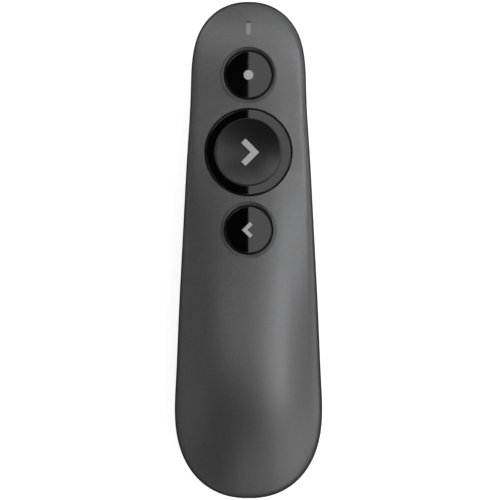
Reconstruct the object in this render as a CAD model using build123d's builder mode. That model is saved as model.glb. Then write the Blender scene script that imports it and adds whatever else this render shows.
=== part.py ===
from build123d import *

import os
from math import acos, atan, cos, degrees, hypot, pi, radians, sin, sqrt

# Wireless presentation clicker: a hand-held slide changer with a laser pointer and a stowed USB receiver.
#
# Lengths are in millimetres. The clicker lies on its back: +Z points up out of the button face, +Y runs
# towards the laser end (the head) and -Y towards the receiver end (the tail). The origin is in the middle of
# the footprint, on the surface that the clicker rests on.

# ---------------------------------------------------------------- driving dimensions
# outline, seen from above
overall_length = 139.0
tail_width = 41.2
head_width = 31.2
head_arc_length = 16.1  # length of the round end at the head
tail_arc_length = 24.5
head_arc_power = 2.2  # 2 is an ellipse, more is squarer
tail_arc_power = 2.25
flank_bow = 1.18  # 1 is a straight flank, more bows it outwards

# shells
seam_height = 17.0  # the plane where the two covers meet
wall = 1.6
edge_radius = 1.2  # round between the crown and the side wall
inner_edge_radius = 0.3
lip_thickness = 0.7  # the rear cover's lip stands inside the top cover's wall
lip_height = 1.0
lip_gap = 0.1
rib_thickness = 1.0
crown_rib_places = (-12.0, -27.0, -42.0)  # ribs that hang from the crown over the battery bay
crown_rib_width = 26.0
crown_rib_underside = 21.5

# crown, the button face
body_height = 28.3  # from the table to the crest of the crown
button_level = 27.1  # height of the level stretch that carries the buttons
crest_start = 2.0  # towards the tail from here the crown rises to its crest
crest_run = 42.0
head_fall = 2.7
head_fall_run = 15.5
tail_fall = 7.0
tail_fall_run = 35.5
head_crown_drop = 1.2  # how far the crown falls from its middle to its edge
tail_crown_drop = 4.8
crown_drop_start = 40.0
crown_drop_run = 85.0

# hull, the hand side
seam_step = 0.25  # the hull is this much narrower than the crown cover at the seam
belly_relief = 0.3  # the belly rounds below the table by this much, and is cut flat there
belly_end = 8.0  # the belly runs level from the tail to here
grip_depth = 6.0  # depth of the hull under the seam at the finger scoop
grip_centre = 46.0
head_depth = 6.7
head_depth_run = 12.0
hull_power = 2.4  # squareness of the hull's cross-section
hull_head_power = 5.0  # bluntness of the hull's two ends, seen from the side
hull_tail_power = 3.5

# buttons
laser_button_y = 49.0
next_button_y = 27.4
back_button_y = 5.65
next_hole_radius = 12.39
small_hole_radius = 6.98
dish_radius = 9.4
dish_depth = 0.9
dish_rim = 0.35  # width and depth of the bevel at the dish's edge
surround_width = 1.1  # sloping ring around each small button
surround_depth = 0.35
button_gap = 0.4  # between a cap and its hole
button_travel = 0.5
cap_rise = 0.12  # how far a cap stands over the crown
cap_wall = 1.4
cap_edge_radius = 0.3
flange_width = 0.9  # beyond the hole
flange_thickness = 0.9
flange_clearance = 0.25  # under the crown
stem_radius = 1.6
key_tab_width = 2.0  # a tab on each flange runs between two guides, so that the cap can't turn
key_tab_reach = 0.8
key_tab_gap = 0.15
key_guide_thickness = 0.8

# status light
light_y = 62.2
light_length = 3.8
light_width = 1.3
light_gap = 0.05
light_flange = 0.7
light_flange_thickness = 0.8
led_width = 1.6
led_length = 3.0
led_height = 0.8

# circuit board and what is soldered to it
board_underside = 19.4
board_thickness = 1.0
board_tail_y = -3.0
board_head_y = 64.6
board_margin = 3.5  # from the outline of the body
board_gap = 0.3  # around the posts that pass through it
board_rib_places = (22.0, 37.0)  # ribs of the rear cover that back the board under the buttons
board_rib_width = 16.0
board_rib_gap = 0.1
switch_size = 6.0
switch_height = 1.6
switch_base = 0.3
switch_edge = 0.4
plunger_radius = 1.75
plunger_gap = 0.1
plunger_rise = 0.6  # how far a plunger stands above its switch
dome_thickness = 0.1
dome_rise = 0.65
chip_size = 5.0
chip_height = 0.9
chip_place = (0.0, 16.5)
crystal_size = (3.2, 2.5, 0.7)
crystal_place = (6.0, 17.5)
inductor_radius = 2.4
inductor_height = 2.2
inductor_place = (-7.0, 31.0)
capacitor_radius = 2.0
capacitor_height = 3.4
capacitor_place = (7.0, 31.0)

# AAA cells and their bay
cell_radius = 5.25
cell_length = 44.5
cell_nub_radius = 1.9
cell_nub_height = 0.8
cell_edge_radius = 0.5
cell_gap = 0.3
cell_axis_height = 8.2
bay_tail_y = -49.2
bay_wall = 1.0
bay_side_gap = 0.4
bay_roof_gap = 0.5
contact_thickness = 0.4
contact_width = 8.6
contact_height = 8.0
contact_tab_width = 3.0
contact_slit_gap = 0.15
spring_length = 4.5
spring_wire_radius = 0.3
spring_turns = 3.0
spring_base_radius = 3.2
spring_tip_radius = 2.0

# battery door
door_width = 25.0
door_front_y = 8.5
door_top = 6.2  # height of the door's edge on the tail
door_thickness = 1.5
door_gap = 0.2
door_corner_radius = 5.0
door_travel = 4.5
shelf_gap = 0.3  # between the door and the shelf that it slides over
shelf_thickness = 1.3
tongue_width = 16.0
tongue_reach = 2.0  # under the cover's edge
tongue_thickness = 0.8
tongue_root = 1.2
tongue_gap = 0.25
hook_width = 3.0
hook_place = 5.5
hook_reach = 2.4
hook_thickness = 0.8
hook_height = 4.4
grip_groove_width = 0.9
grip_groove_depth = 0.35
grip_groove_length = 8.0
grip_groove_pitch = 2.0
grip_groove_count = 5
grip_groove_y = -4.0

# USB receiver and its pocket
receiver_width = 14.4
receiver_thickness = 6.1
receiver_cap_length = 6.7
receiver_axis_height = 11.2
receiver_setback = 0.15  # its end lies this far inside the tail
receiver_edge_radius = 0.5
receiver_gap = 0.2
nail_groove_depth = 0.6
nail_groove_width = 1.0
nail_groove_place = 1.6  # from the end of the tail
plug_width = 12.0
plug_thickness = 4.5
plug_length = 12.0
plug_wall = 0.35
plug_window = 2.2
plug_window_place = 6.0
tongue_plate_width = 10.6
tongue_plate_thickness = 1.8
pad_width = 1.1
pad_pitch = 2.3
pad_length = 7.0
pad_thickness = 0.15
pocket_wall = 1.0

# laser
laser_axis_height = 15.6
barrel_radius = 3.0
barrel_bore_radius = 2.3
barrel_length = 11.5
barrel_head_y = 66.0
cradle_thickness = 1.2
cradle_width = 8.4
cradle_places = (57.0, 63.0)
lens_thickness = 1.2
lens_setback = 0.8
diode_length = 4.0
diode_setback = 1.0
laser_board_width = 4.0
laser_board_length = 9.0
laser_board_thickness = 0.8
wire_radius = 0.4
wire_place = 1.1
wire_bend = 1.5
wire_run = 5.0
window_radius = 2.7
window_gap = 0.05
window_setback = 0.4
window_thickness = 1.3
window_flange = 0.8
window_flange_thickness = 0.6

# fasteners
case_screw_radius = 1.0
case_screw_length = 16.0
case_screw_head_radius = 1.8
case_screw_head_height = 1.3
case_screw_seat = 6.3
case_screw_places = ((10.4, 5.5), (9.2, -54.5))
case_boss_radius = 2.2
board_screw_radius = 0.8
board_screw_length = 4.5
board_screw_head_radius = 1.5
board_screw_head_height = 1.0
board_screw_places = ((11.5, 14.8), (11.2, 42.0))
board_boss_radius = 1.9
screw_clearance = 0.15
thread_gap = 0.02
drive_width = 0.5
drive_depth = 0.5

# ---------------------------------------------------------------- worked-out sizes
half_length = overall_length / 2
head_arc_y = half_length - head_arc_length
tail_arc_y = tail_arc_length - half_length
board_top = board_underside + board_thickness
switch_top = board_top + switch_height
plunger_top = switch_top + plunger_rise
dome_top = board_top + switch_base + dome_rise
shelf_depth = door_thickness + shelf_gap
cell_x = cell_radius + cell_gap / 2
bay_head_y = bay_tail_y + 2 * contact_thickness + spring_length + cell_length
bay_half_width = cell_x + cell_radius + bay_side_gap
bay_roof = cell_axis_height + cell_radius + bay_roof_gap
door_inside = door_thickness - belly_relief
tongue_height = door_inside + shelf_gap + 2 * tongue_gap
receiver_end_y = receiver_setback - half_length
plug_start_y = receiver_cap_length - half_length
plug_tip_y = plug_start_y + plug_length
window_y = half_length - window_setback
barrel_tail_y = barrel_head_y - barrel_length
reach = 60.0  # longer than any cut needs to be


# ---------------------------------------------------------------- the body's form
def smooth_step(share):
    """0 before 0, 1 after 1, and an S between."""
    share = min(1.0, max(0.0, share))
    return share * share * (3 - 2 * share)


def flank(y, inset=0.0):
    """Half width of the outline without its round ends."""
    share = (min(max(y, tail_arc_y), half_length) - tail_arc_y) / (head_arc_y - tail_arc_y)
    return tail_width / 2 - (tail_width - head_width) / 2 * share**flank_bow - inset


def round_end(y, inset=0.0):
    """How far y is into a round end, as a share of that end, with the end's length and power."""
    if y > head_arc_y:
        return (y - head_arc_y) / (head_arc_length - inset), head_arc_length - inset, head_arc_power
    return max(0.0, tail_arc_y - y) / (tail_arc_length - inset), tail_arc_length - inset, tail_arc_power


def half_width(y, inset=0.0):
    """Half width at y of the outline set in by inset."""
    share, _, power = round_end(y, inset)
    return flank(y, inset) * max(0.0, 1 - share**power) ** (1 / power)


def edge_distance(x, y, inset=0.0):
    """How far (x, y) lies inside the outline."""
    share, length, power = round_end(y, inset)
    side = abs(x) / flank(y, inset)
    level = 1 - side**power - share**power
    slope = power * hypot(side ** (power - 1) / flank(y, inset), share ** (power - 1) / length)
    return level / max(slope, 1e-9)


def width_inside(y, distance, inset=0.0):
    """The x at which (x, y) lies the given distance inside the outline."""
    near, far = 0.0, half_width(y, inset)
    for _ in range(50):
        middle = (near + far) / 2
        if edge_distance(middle, y, inset) > distance:
            near = middle
        else:
            far = middle
    return near


def crown_middle(y):
    """Height of the crown on the middle plane."""
    height = button_level + (body_height - button_level) * smooth_step((crest_start - y) / crest_run)
    into_head = max(0.0, y - half_length + head_fall_run) / head_fall_run
    into_tail = max(0.0, tail_fall_run - half_length - y) / tail_fall_run
    return height - head_fall * into_head**2.2 - tail_fall * into_tail**2.2


def crown_radius(y):
    """Radius of the arc that the crown makes across the body."""
    run = smooth_step((crown_drop_start - y) / crown_drop_run)
    drop = head_crown_drop + (tail_crown_drop - head_crown_drop) * run
    return flank(y) ** 2 / (2 * drop) + drop / 2


def crown_height(x, y):
    """Height of the crown at (x, y)."""
    radius = crown_radius(y)
    return crown_middle(y) - radius + sqrt(radius**2 - x**2)


def hull_depth(y, inset=0.0):
    """Depth of the hull under the seam on the middle plane."""
    belly_depth = seam_height + belly_relief
    to_grip = smooth_step((y - belly_end) / (grip_centre - belly_end))
    to_head = smooth_step((y - grip_centre) / head_depth_run)
    depth = belly_depth + (grip_depth - belly_depth) * to_grip + (head_depth - grip_depth) * to_head
    power = hull_head_power if y > 0 else hull_tail_power
    return (depth - inset) * max(0.0, 1 - round_end(y, inset)[0] ** power) ** (1 / power)


def hull_end(height, inset):
    """The y at which the hull's tail, set in by inset, comes up to the given height on the middle plane."""
    rise = (seam_height - height) / (seam_height + belly_relief - inset)
    share = (1 - rise**hull_tail_power) ** (1 / hull_tail_power)
    return tail_arc_y - share * (tail_arc_length - inset)


def stations(inset):
    """Places of the cross-sections from tail to head, closer together where the ends turn in."""
    end = half_length - inset
    tail = [tail_arc_length * share for share in (0.001, 0.008, 0.025, 0.058, 0.115, 0.205, 0.35, 0.53, 0.78)]
    head = [head_arc_length * share for share in (0.001, 0.009, 0.028, 0.062, 0.125, 0.225, 0.375, 0.56, 0.81)]
    between = [tail_arc_y + (head_arc_y - tail_arc_y) * share for share in (0.09, 0.25, 0.42, 0.58, 0.74, 0.9)]
    return [distance - end for distance in tail] + between + [end - distance for distance in reversed(head)]


def crown_points(y, inset, radius):
    """Right half of the crown's cross-section: the rounded edge, then the arc up to the middle."""
    middle_distance = edge_distance(0, y, inset)
    turn = pi / 2 if middle_distance > radius else acos((radius - middle_distance) / radius)
    roll = [width_inside(y, radius * (1 - cos(turn * step / 4)), inset) for step in range(4)]
    shoulder = width_inside(y, radius, inset) if middle_distance > radius else 0.55 * roll[0]
    points = []
    for x in roll + [shoulder * share for share in (1, 0.85, 0.6, 0.3, 0)]:
        fall = radius - min(radius, edge_distance(x, y, inset))
        points.append((x, crown_height(x, y) - inset - radius + sqrt(max(0.0, radius**2 - fall**2))))
    return points


def hull_points(y, inset):
    """Right half of the hull's cross-section, from the seam down to the belly."""
    side, depth = half_width(y, inset) - seam_step, hull_depth(y, inset)
    points = []
    for angle in (0, 6, 14, 26, 42, 62, 90):
        x = side * max(0.0, cos(radians(angle))) ** (2 / hull_power) if angle < 90 else 0.0
        points.append((x, seam_height - depth * sin(radians(angle)) ** (2 / hull_power)))
    return points


def body_form(half_section, level, inset):
    """A closed solid through the body's cross-sections, closed off flat at the given level."""
    with BuildPart() as form:
        for y in stations(inset):
            right = half_section(y)
            curve = right + [(-x, z) for x, z in right[-2::-1]]
            with BuildSketch(across(y)):
                with BuildLine():
                    Spline(curve)
                    if curve[0][1] == level:
                        Line(curve[-1], curve[0])
                    else:
                        Polyline(curve[-1], (curve[-1][0], level), (curve[0][0], level), curve[0])
                make_face()
        loft()
    return form.part


def crown_form(inset, level):
    """The crown side of the body, set in all over, down to the given level."""
    radius = max(inner_edge_radius, edge_radius - inset)
    return body_form(lambda y: crown_points(y, inset, radius), level, inset)


def hull_form(inset, level=seam_height + 1.0):
    """The hull side of the body, set in all over, up to the given level."""
    return body_form(lambda y: hull_points(y, inset), level, inset)


def across(y):
    """The plane across the body at y. Its x is X, its y is Z, and its normal is -Y."""
    return Plane.XZ.offset(-y)


def mirrored(places):
    """The given places and their mirror images on the other side of the middle plane."""
    return [(side * x, y) for x, y in places for side in (1, -1)]


def door_block(gap):
    """The block of space that holds the battery door, made smaller all round by gap."""
    front = door_front_y - gap
    length = front + half_length + door_gap
    with BuildPart() as block:
        with BuildSketch(Plane.XY.offset(-door_thickness)) as outline:
            with Locations((0, front - length / 2)):
                Rectangle(door_width - 2 * gap, length)
            fillet(outline.vertices().group_by(Axis.Y)[-1], door_corner_radius - gap)
        extrude(amount=door_thickness + door_top - gap)
    return block.part


def seam_ring(outer_inset, inner_inset, height):
    """A band that follows the outline at the seam, between two insets, and stands on the seam plane."""
    with BuildPart() as ring:
        with BuildSketch(Plane.XY.offset(seam_height)):
            for inset, mode in ((outer_inset, Mode.ADD), (inner_inset, Mode.SUBTRACT)):
                end = half_length - inset
                right = [(half_width(y, inset), y) for y in stations(inset)]
                left = [(-x, y) for x, y in reversed(right)]
                with BuildLine():
                    Spline([(0, -end)] + right + [(0, end)] + left, periodic=True)
                make_face(mode=mode)
        extrude(amount=height)
    return ring.part


def flange_level(place, hole_radius):
    """Height of the top of a button's flange, which stays clear of the crown above it."""
    return crown_height(hole_radius + flange_width, place) - wall - flange_clearance


def save(builder, name):
    """Label a finished piece and write it."""
    builder.part.label = name
    export_step(builder.part, f"parts/{name}.step")


os.makedirs("parts", exist_ok=True)
crown_outside = crown_form(0.0, seam_height)
crown_inside = crown_form(wall, seam_height - 1.0)
with BuildPart() as hull_outside:
    add(hull_form(0.0, seam_height))
    split(bisect_by=Plane.XY, keep=Keep.TOP)

# name, place, hole radius, whether the cap is dished, and the direction of its key tab from its centre
buttons = (
    ("laser", laser_button_y, small_hole_radius, False, 90),
    ("next", next_button_y, next_hole_radius, True, 0),
    ("back", back_button_y, small_hole_radius, False, -90),
)

# ---------------------------------------------------------------- top cover
# the hollow leaves out the posts, ribs and key guides that hang from the crown
with BuildPart() as crown_hollow:
    add(crown_inside)
    with BuildSketch(Plane.XY.offset(seam_height)):
        with Locations(*mirrored(case_screw_places)):
            Circle(case_boss_radius)
    extrude(amount=reach, mode=Mode.SUBTRACT)
    with BuildSketch(Plane.XY.offset(board_top)):
        with Locations(*mirrored(board_screw_places)):
            Circle(board_boss_radius)
    extrude(amount=reach, mode=Mode.SUBTRACT)
    with BuildSketch(Plane.XY.offset(crown_rib_underside)):
        with Locations(*[(0, place) for place in crown_rib_places]):
            Rectangle(crown_rib_width, rib_thickness)
    extrude(amount=reach, mode=Mode.SUBTRACT)
    for _, place, hole_radius, _, key_angle in buttons:
        guide_radius = hole_radius + flange_width + key_tab_gap + key_tab_reach / 2
        guide_offset = (key_tab_width + key_guide_thickness) / 2 + key_tab_gap
        with BuildSketch(Plane.XY.offset(flange_level(place, hole_radius) - flange_thickness)):
            with Locations((0, place)):
                with PolarLocations(guide_radius, 1, start_angle=key_angle):
                    with Locations((0, guide_offset), (0, -guide_offset)):
                        Rectangle(key_tab_reach, key_guide_thickness)
        extrude(amount=reach, mode=Mode.SUBTRACT)

with BuildPart() as top_cover:
    add(crown_outside)
    add(crown_hollow.part, mode=Mode.SUBTRACT)
    rebate = wall - lip_thickness - lip_gap
    add(seam_ring(rebate, wall + lip_gap, lip_height + lip_gap), mode=Mode.SUBTRACT)
    for _, place, hole_radius, dished, _ in buttons:
        with BuildSketch(Plane.XY.offset(board_top)):
            with Locations((0, place)):
                Circle(hole_radius)
        extrude(amount=reach, mode=Mode.SUBTRACT)
        if not dished:
            # the surround slopes down to the hole
            with BuildSketch(Plane.XY.offset(button_level - surround_depth)):
                with Locations((0, place)):
                    Circle(hole_radius)
            with BuildSketch(Plane.XY.offset(button_level + surround_depth)):
                with Locations((0, place)):
                    Circle(hole_radius + 2 * surround_width)
            loft(mode=Mode.SUBTRACT)
    with BuildSketch(Plane.XY.offset(board_top)):
        with Locations((0, light_y)):
            SlotOverall(light_length + 2 * light_gap, light_width + 2 * light_gap, rotation=90)
    extrude(amount=reach, mode=Mode.SUBTRACT)
    with BuildSketch(Plane.XY.offset(seam_height)):
        with Locations(*mirrored(case_screw_places)):
            Circle(case_screw_radius + thread_gap)
    extrude(amount=case_screw_seat + case_screw_length + screw_clearance - seam_height, mode=Mode.SUBTRACT)
    with BuildSketch(Plane.XY.offset(board_top)):
        with Locations(*mirrored(board_screw_places)):
            Circle(board_screw_radius + thread_gap)
    extrude(amount=board_screw_length + screw_clearance - board_thickness, mode=Mode.SUBTRACT)
    with BuildSketch(across(window_y)):
        with Locations((0, laser_axis_height)):
            Circle(window_radius + window_gap)
    extrude(amount=window_thickness, both=True, mode=Mode.SUBTRACT)
    with BuildSketch(across(window_y - window_thickness)):
        with Locations((0, laser_axis_height)):
            Circle(window_radius + window_flange + window_gap)
    extrude(amount=2 * window_flange_thickness, mode=Mode.SUBTRACT)
save(top_cover, "top_cover")

# ---------------------------------------------------------------- rear cover
cap_half_width = receiver_width / 2 + receiver_gap + pocket_wall
plug_half_width = plug_width / 2 + receiver_gap + pocket_wall
pocket_height = receiver_thickness + 2 * receiver_gap
bay_outside = bay_half_width + bay_wall
tongue_box_top = tongue_height + tongue_thickness + tongue_gap + shelf_thickness
hook_slot_y = hull_end(hook_height + hook_thickness, shelf_depth + shelf_thickness) + shelf_thickness

# around the door's recess the wall steps inwards, to carry the shelf
with BuildPart() as shelf_frame:
    add(door_block(-shelf_thickness))
    add(hull_form(shelf_depth + shelf_thickness), mode=Mode.SUBTRACT)

# the hollow leaves out everything that stands in the hull
with BuildPart() as hull_hollow:
    add(hull_form(wall))
    add(shelf_frame.part, mode=Mode.SUBTRACT)
    with BuildSketch(Plane.XY):  # battery bay
        with Locations((0, (bay_tail_y + bay_head_y) / 2)):
            Rectangle(2 * bay_outside, bay_head_y - bay_tail_y + 2 * bay_wall)
    extrude(amount=bay_roof + bay_wall, mode=Mode.SUBTRACT)
    with BuildSketch(Plane.XY):  # box over the door's front tongue
        with Locations((0, (bay_head_y + door_front_y + tongue_reach + tongue_gap + pocket_wall) / 2)):
            Rectangle(
                tongue_width + 2 * (tongue_gap + pocket_wall),
                door_front_y + tongue_reach + tongue_gap + pocket_wall - bay_head_y,
            )
    extrude(amount=tongue_box_top, mode=Mode.SUBTRACT)
    with BuildSketch(across(-half_length)):  # receiver pocket, round the cap
        with Locations((0, receiver_axis_height)):
            Rectangle(2 * cap_half_width, pocket_height + 2 * pocket_wall)
    extrude(amount=-(receiver_cap_length + receiver_gap + pocket_wall), mode=Mode.SUBTRACT)
    with BuildSketch(across(-half_length)):  # receiver pocket, round the plug
        with Locations((0, receiver_axis_height)):
            Rectangle(2 * plug_half_width, plug_thickness + 2 * (receiver_gap + pocket_wall))
    extrude(amount=-(half_length + bay_tail_y - bay_wall / 2), mode=Mode.SUBTRACT)
    with BuildSketch(Plane.XY):  # case screw posts
        with Locations(*mirrored(case_screw_places)):
            Circle(case_boss_radius)
    extrude(amount=seam_height, mode=Mode.SUBTRACT)
    for place in cradle_places:  # laser cradle
        with BuildSketch(across(place - cradle_thickness / 2)):
            with Locations((0, laser_axis_height / 2)):
                Rectangle(cradle_width, laser_axis_height)
        extrude(amount=-cradle_thickness, mode=Mode.SUBTRACT)
    for place in board_rib_places:  # ribs under the board, up to the top of the hollow
        with BuildSketch(across(place - rib_thickness / 2)):
            with Locations((0, seam_height / 2)):
                Rectangle(board_rib_width, 2 * seam_height)
        extrude(amount=-rib_thickness, mode=Mode.SUBTRACT)

# the shelf stops short of the door's whole thickness
with BuildPart() as door_recess:
    add(door_block(0.0))
    add(hull_form(shelf_depth), mode=Mode.SUBTRACT)

board_rib_top = board_underside - board_rib_gap
with BuildPart() as rear_cover:
    add(hull_outside.part)
    add(hull_hollow.part, mode=Mode.SUBTRACT)
    add(door_recess.part, mode=Mode.SUBTRACT)
    add(seam_ring(wall - lip_thickness, wall, lip_height))
    for place in board_rib_places:  # the ribs go on above the seam, up to the board
        with BuildSketch(across(place - rib_thickness / 2)):
            with Locations((0, (seam_height - rib_thickness + board_rib_top) / 2)):
                Rectangle(board_rib_width, board_rib_top - seam_height + rib_thickness)
        extrude(amount=-rib_thickness)
    with BuildSketch(Plane.XY):  # battery bay
        with Locations((0, (bay_tail_y + bay_head_y) / 2)):
            Rectangle(2 * bay_half_width, bay_head_y - bay_tail_y)
    extrude(amount=bay_roof, mode=Mode.SUBTRACT)
    with BuildSketch(Plane.XY.offset(bay_roof)):  # slits for the contact tabs
        with Locations(*mirrored([(cell_x, bay_head_y - contact_thickness / 2)])):
            Rectangle(
                contact_tab_width + 2 * contact_slit_gap, contact_thickness + 2 * contact_slit_gap
            )
    extrude(amount=2 * bay_wall, mode=Mode.SUBTRACT)
    tongue_slot_length = tongue_reach + door_travel + tongue_root + 2 * tongue_gap
    with BuildSketch(Plane.XY.offset(tongue_height - tongue_gap)):  # where the front tongue slides
        with Locations((0, door_front_y + tongue_reach + tongue_gap - tongue_slot_length / 2)):
            Rectangle(tongue_width + 2 * tongue_gap, tongue_slot_length)
    extrude(amount=tongue_thickness + 2 * tongue_gap, mode=Mode.SUBTRACT)
    with BuildSketch(Plane.XY.offset(door_inside)):  # where its root passes through the shelf
        with Locations((0, door_front_y - (door_travel + tongue_root + tongue_gap) / 2)):
            Rectangle(tongue_width + 2 * tongue_gap, door_travel + tongue_root + tongue_gap)
    extrude(amount=tongue_height - door_inside, mode=Mode.SUBTRACT)
    with BuildSketch(across(-half_length)):  # slots for the door's tail hooks
        with Locations((hook_place, hook_height), (-hook_place, hook_height)):
            Rectangle(hook_width + 2 * tongue_gap, hook_thickness + 2 * tongue_gap)
    extrude(amount=-(half_length + hook_slot_y), mode=Mode.SUBTRACT)
    with BuildSketch(across(-half_length)):  # receiver pocket
        with Locations((0, receiver_axis_height)):
            Rectangle(receiver_width + 2 * receiver_gap, pocket_height)
    extrude(amount=-(receiver_cap_length + receiver_gap), mode=Mode.SUBTRACT)
    with BuildSketch(across(-half_length)):
        with Locations((0, receiver_axis_height)):
            Rectangle(plug_width + 2 * receiver_gap, plug_thickness + 2 * receiver_gap)
    extrude(amount=-(receiver_cap_length + plug_length + receiver_gap), mode=Mode.SUBTRACT)
    with BuildSketch(Plane.XY):  # case screws: recessed heads, then clearance up to the seam
        with Locations(*mirrored(case_screw_places)):
            Circle(case_screw_head_radius + screw_clearance)
    extrude(amount=case_screw_seat, mode=Mode.SUBTRACT)
    with BuildSketch(Plane.XY):
        with Locations(*mirrored(case_screw_places)):
            Circle(case_screw_radius + screw_clearance)
    extrude(amount=seam_height, mode=Mode.SUBTRACT)
    with BuildSketch(across(barrel_head_y + screw_clearance)):  # laser barrel's seat
        with Locations((0, laser_axis_height)):
            Circle(barrel_radius + thread_gap)
    extrude(amount=barrel_length + 2 * screw_clearance, mode=Mode.SUBTRACT)
    with BuildSketch(across(window_y)):
        with Locations((0, laser_axis_height)):
            Circle(window_radius + window_gap)
    extrude(amount=window_thickness, both=True, mode=Mode.SUBTRACT)
    with BuildSketch(across(window_y - window_thickness)):
        with Locations((0, laser_axis_height)):
            Circle(window_radius + window_flange + window_gap)
    extrude(amount=2 * window_flange_thickness, mode=Mode.SUBTRACT)
save(rear_cover, "rear_cover")

# ---------------------------------------------------------------- battery door
hook_root_y = hull_end(hook_height, door_thickness / 2)
hook_tip_y = hull_end(hook_height, door_thickness) + hook_reach
with BuildPart() as battery_door:
    add(hull_outside.part)
    add(hull_form(door_thickness), mode=Mode.SUBTRACT)
    add(door_block(door_gap), mode=Mode.INTERSECT)
    with BuildSketch(across(hook_root_y)):  # tail hooks
        with Locations((hook_place, hook_height), (-hook_place, hook_height)):
            Rectangle(hook_width, hook_thickness)
    extrude(amount=-(hook_tip_y - hook_root_y))
    with BuildSketch(Plane.XY.offset(door_inside)):  # front tongue
        with Locations((0, door_front_y - door_gap - tongue_root / 2)):
            Rectangle(tongue_width, tongue_root)
    extrude(amount=tongue_height + tongue_thickness - door_inside)
    with BuildSketch(Plane.XY.offset(tongue_height)):
        with Locations((0, door_front_y + (tongue_reach - door_gap - tongue_root) / 2)):
            Rectangle(tongue_width, tongue_reach + tongue_root + door_gap)
    extrude(amount=tongue_thickness)
    with BuildSketch(Plane.XY):  # grooves for the thumb
        with Locations((0, grip_groove_y)):
            with GridLocations(0, grip_groove_pitch, 1, grip_groove_count):
                SlotOverall(grip_groove_length, grip_groove_width)
    extrude(amount=grip_groove_depth, mode=Mode.SUBTRACT)
save(battery_door, "battery_door")

# ---------------------------------------------------------------- buttons, with their switches
for name, place, hole_radius, dished, key_angle in buttons:
    cap_radius = hole_radius - button_gap
    crown_arc = crown_radius(place)
    cap_top = button_level + cap_rise
    cap_side = cap_top - crown_arc + sqrt(crown_arc**2 - cap_radius**2)  # lowest point of the cap's top edge
    hole_side = cap_top - crown_arc + sqrt(crown_arc**2 - hole_radius**2)
    flange_radius = hole_radius + flange_width
    flange_top = flange_level(place, hole_radius)
    flange_bottom = flange_top - flange_thickness
    ceiling = min(cap_side, cap_top - dish_depth if dished else cap_top) - cap_wall

    with BuildPart() as button:
        # the cap's top follows the crown's arc
        with BuildSketch(across(place)) as arc_section:
            with BuildLine():
                arc = RadiusArc((-hole_radius, hole_side), (hole_radius, hole_side), crown_arc)
                Polyline(arc @ 1, (hole_radius, flange_top), (-hole_radius, flange_top), arc @ 0)
            make_face()
        extrude(amount=hole_radius, both=True)
        with BuildSketch(Plane.XY.offset(flange_top)):
            with Locations((0, place)):
                Circle(cap_radius)
        extrude(amount=reach, mode=Mode.INTERSECT)
        fillet(button.faces().sort_by(Axis.Z)[-1].edges(), cap_edge_radius)
        with BuildSketch(Plane.XY.offset(flange_bottom)):
            with Locations((0, place)):
                Circle(flange_radius)
                with PolarLocations(flange_radius, 1, start_angle=key_angle):
                    Rectangle(2 * key_tab_reach, key_tab_width)
        extrude(amount=flange_thickness)
        with BuildSketch(Plane.XY.offset(flange_bottom)):
            with Locations((0, place)):
                Circle(cap_radius - cap_wall)
        extrude(amount=ceiling - flange_bottom, mode=Mode.SUBTRACT)
        with BuildSketch(Plane.XY.offset(plunger_top)):
            with Locations((0, place)):
                Circle(stem_radius)
        extrude(amount=ceiling - plunger_top)
        if dished:
            floor_radius = dish_radius - dish_rim
            floor_edge = cap_top - dish_rim
            floor = cap_top - dish_depth
            with BuildSketch(Plane.XZ.offset(-place)):
                with BuildLine():
                    bowl = TangentArc((0, floor), (floor_radius, floor_edge), tangent=(1, 0))
                    rim_top = (dish_radius + dish_rim, cap_top + dish_rim)
                    Polyline(bowl @ 1, rim_top, (0, cap_top + dish_rim), bowl @ 0)
                make_face()
            revolve(axis=Axis((0, place, 0), (0, 0, 1)), mode=Mode.SUBTRACT)
    save(button, f"{name}_button")

    with BuildPart() as switch:
        with BuildSketch(Plane.XY.offset(board_top)):
            with Locations((0, place)):
                Rectangle(switch_size, switch_size)
        extrude(amount=switch_height)
        chamfer(switch.edges().filter_by(Axis.Z), switch_edge)
        with BuildSketch(Plane.XY.offset(board_top + switch_base)):
            with Locations((0, place)):
                Circle(plunger_radius + plunger_gap)
        extrude(amount=switch_height, mode=Mode.SUBTRACT)
    save(switch, f"{name}_switch")

    with BuildPart() as plunger:
        with BuildSketch(Plane.XY.offset(dome_top)):
            with Locations((0, place)):
                Circle(plunger_radius)
        extrude(amount=plunger_top - dome_top)
    save(plunger, f"{name}_plunger")

    with BuildPart() as dome:
        with BuildSketch(Plane.XZ.offset(-place)):
            with BuildLine():
                foot = board_top + switch_base
                outer = TangentArc((0, dome_top), (plunger_radius, foot), tangent=(1, 0))
                inner = TangentArc(
                    (0, dome_top - dome_thickness), (plunger_radius - dome_thickness, foot), tangent=(1, 0)
                )
                Line(outer @ 0, inner @ 0)
                Line(outer @ 1, inner @ 1)
            make_face()
        revolve(axis=Axis((0, place, 0), (0, 0, 1)))
    save(dome, f"{name}_dome")

# ---------------------------------------------------------------- status light
light_flange_top = crown_height(light_width, light_y + light_length / 2 + light_flange) - wall - light_gap
with BuildPart() as light_pipe:
    with BuildSketch(Plane.XY.offset(board_top + led_height)):
        with Locations((0, light_y)):
            SlotOverall(light_length, light_width, rotation=90)
    extrude(amount=reach)
    add(crown_outside, mode=Mode.INTERSECT)
    with BuildSketch(Plane.XY.offset(light_flange_top - light_flange_thickness)):
        with Locations((0, light_y)):
            SlotOverall(light_length + 2 * light_flange, light_width + 2 * light_flange, rotation=90)
    extrude(amount=light_flange_thickness)
save(light_pipe, "light_pipe")

with BuildPart() as status_led:
    with BuildSketch(Plane.XY.offset(board_top)):
        with Locations((0, light_y)):
            Rectangle(led_width, led_length)
    extrude(amount=led_height)
save(status_led, "status_led")

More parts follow.
